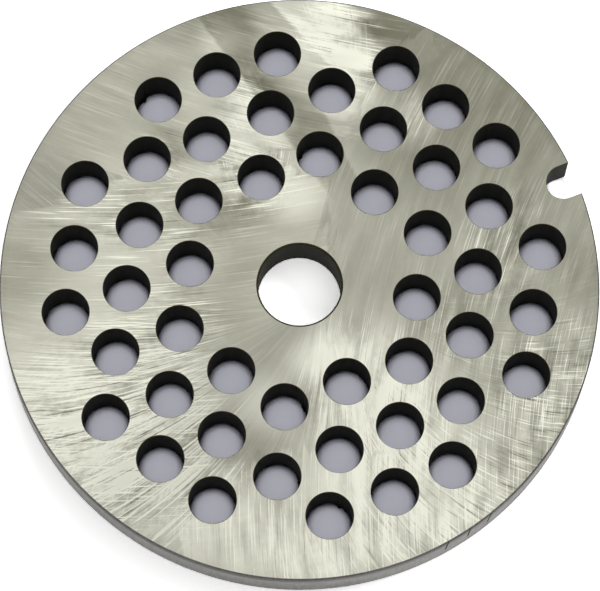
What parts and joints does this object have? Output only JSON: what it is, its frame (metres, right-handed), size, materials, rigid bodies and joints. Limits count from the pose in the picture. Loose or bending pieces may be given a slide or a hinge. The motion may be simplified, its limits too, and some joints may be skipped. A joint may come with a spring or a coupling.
{
  "type": "meat grinder plate",
  "caption": "Flat round steel hole plate for a meat grinder: drilled holes round a plain hub land, a centre bore for the feed screw's pin and a locating notch in the rim.",
  "frame": {"origin": "centre of the bore at the back face", "axes": "+Z along the bore, out of the front face that the knife turns against; +X out through the rim notch"},
  "size_m": [0.0619, 0.062, 0.0055],
  "materials": {
    "ground_steel": "coarse surface ground faces, turned rim, dark hardening scale in the holes"
  },
  "bodies": {
    "root": {"grinder_plate": "ground_steel"}
  },
  "joints": []
}
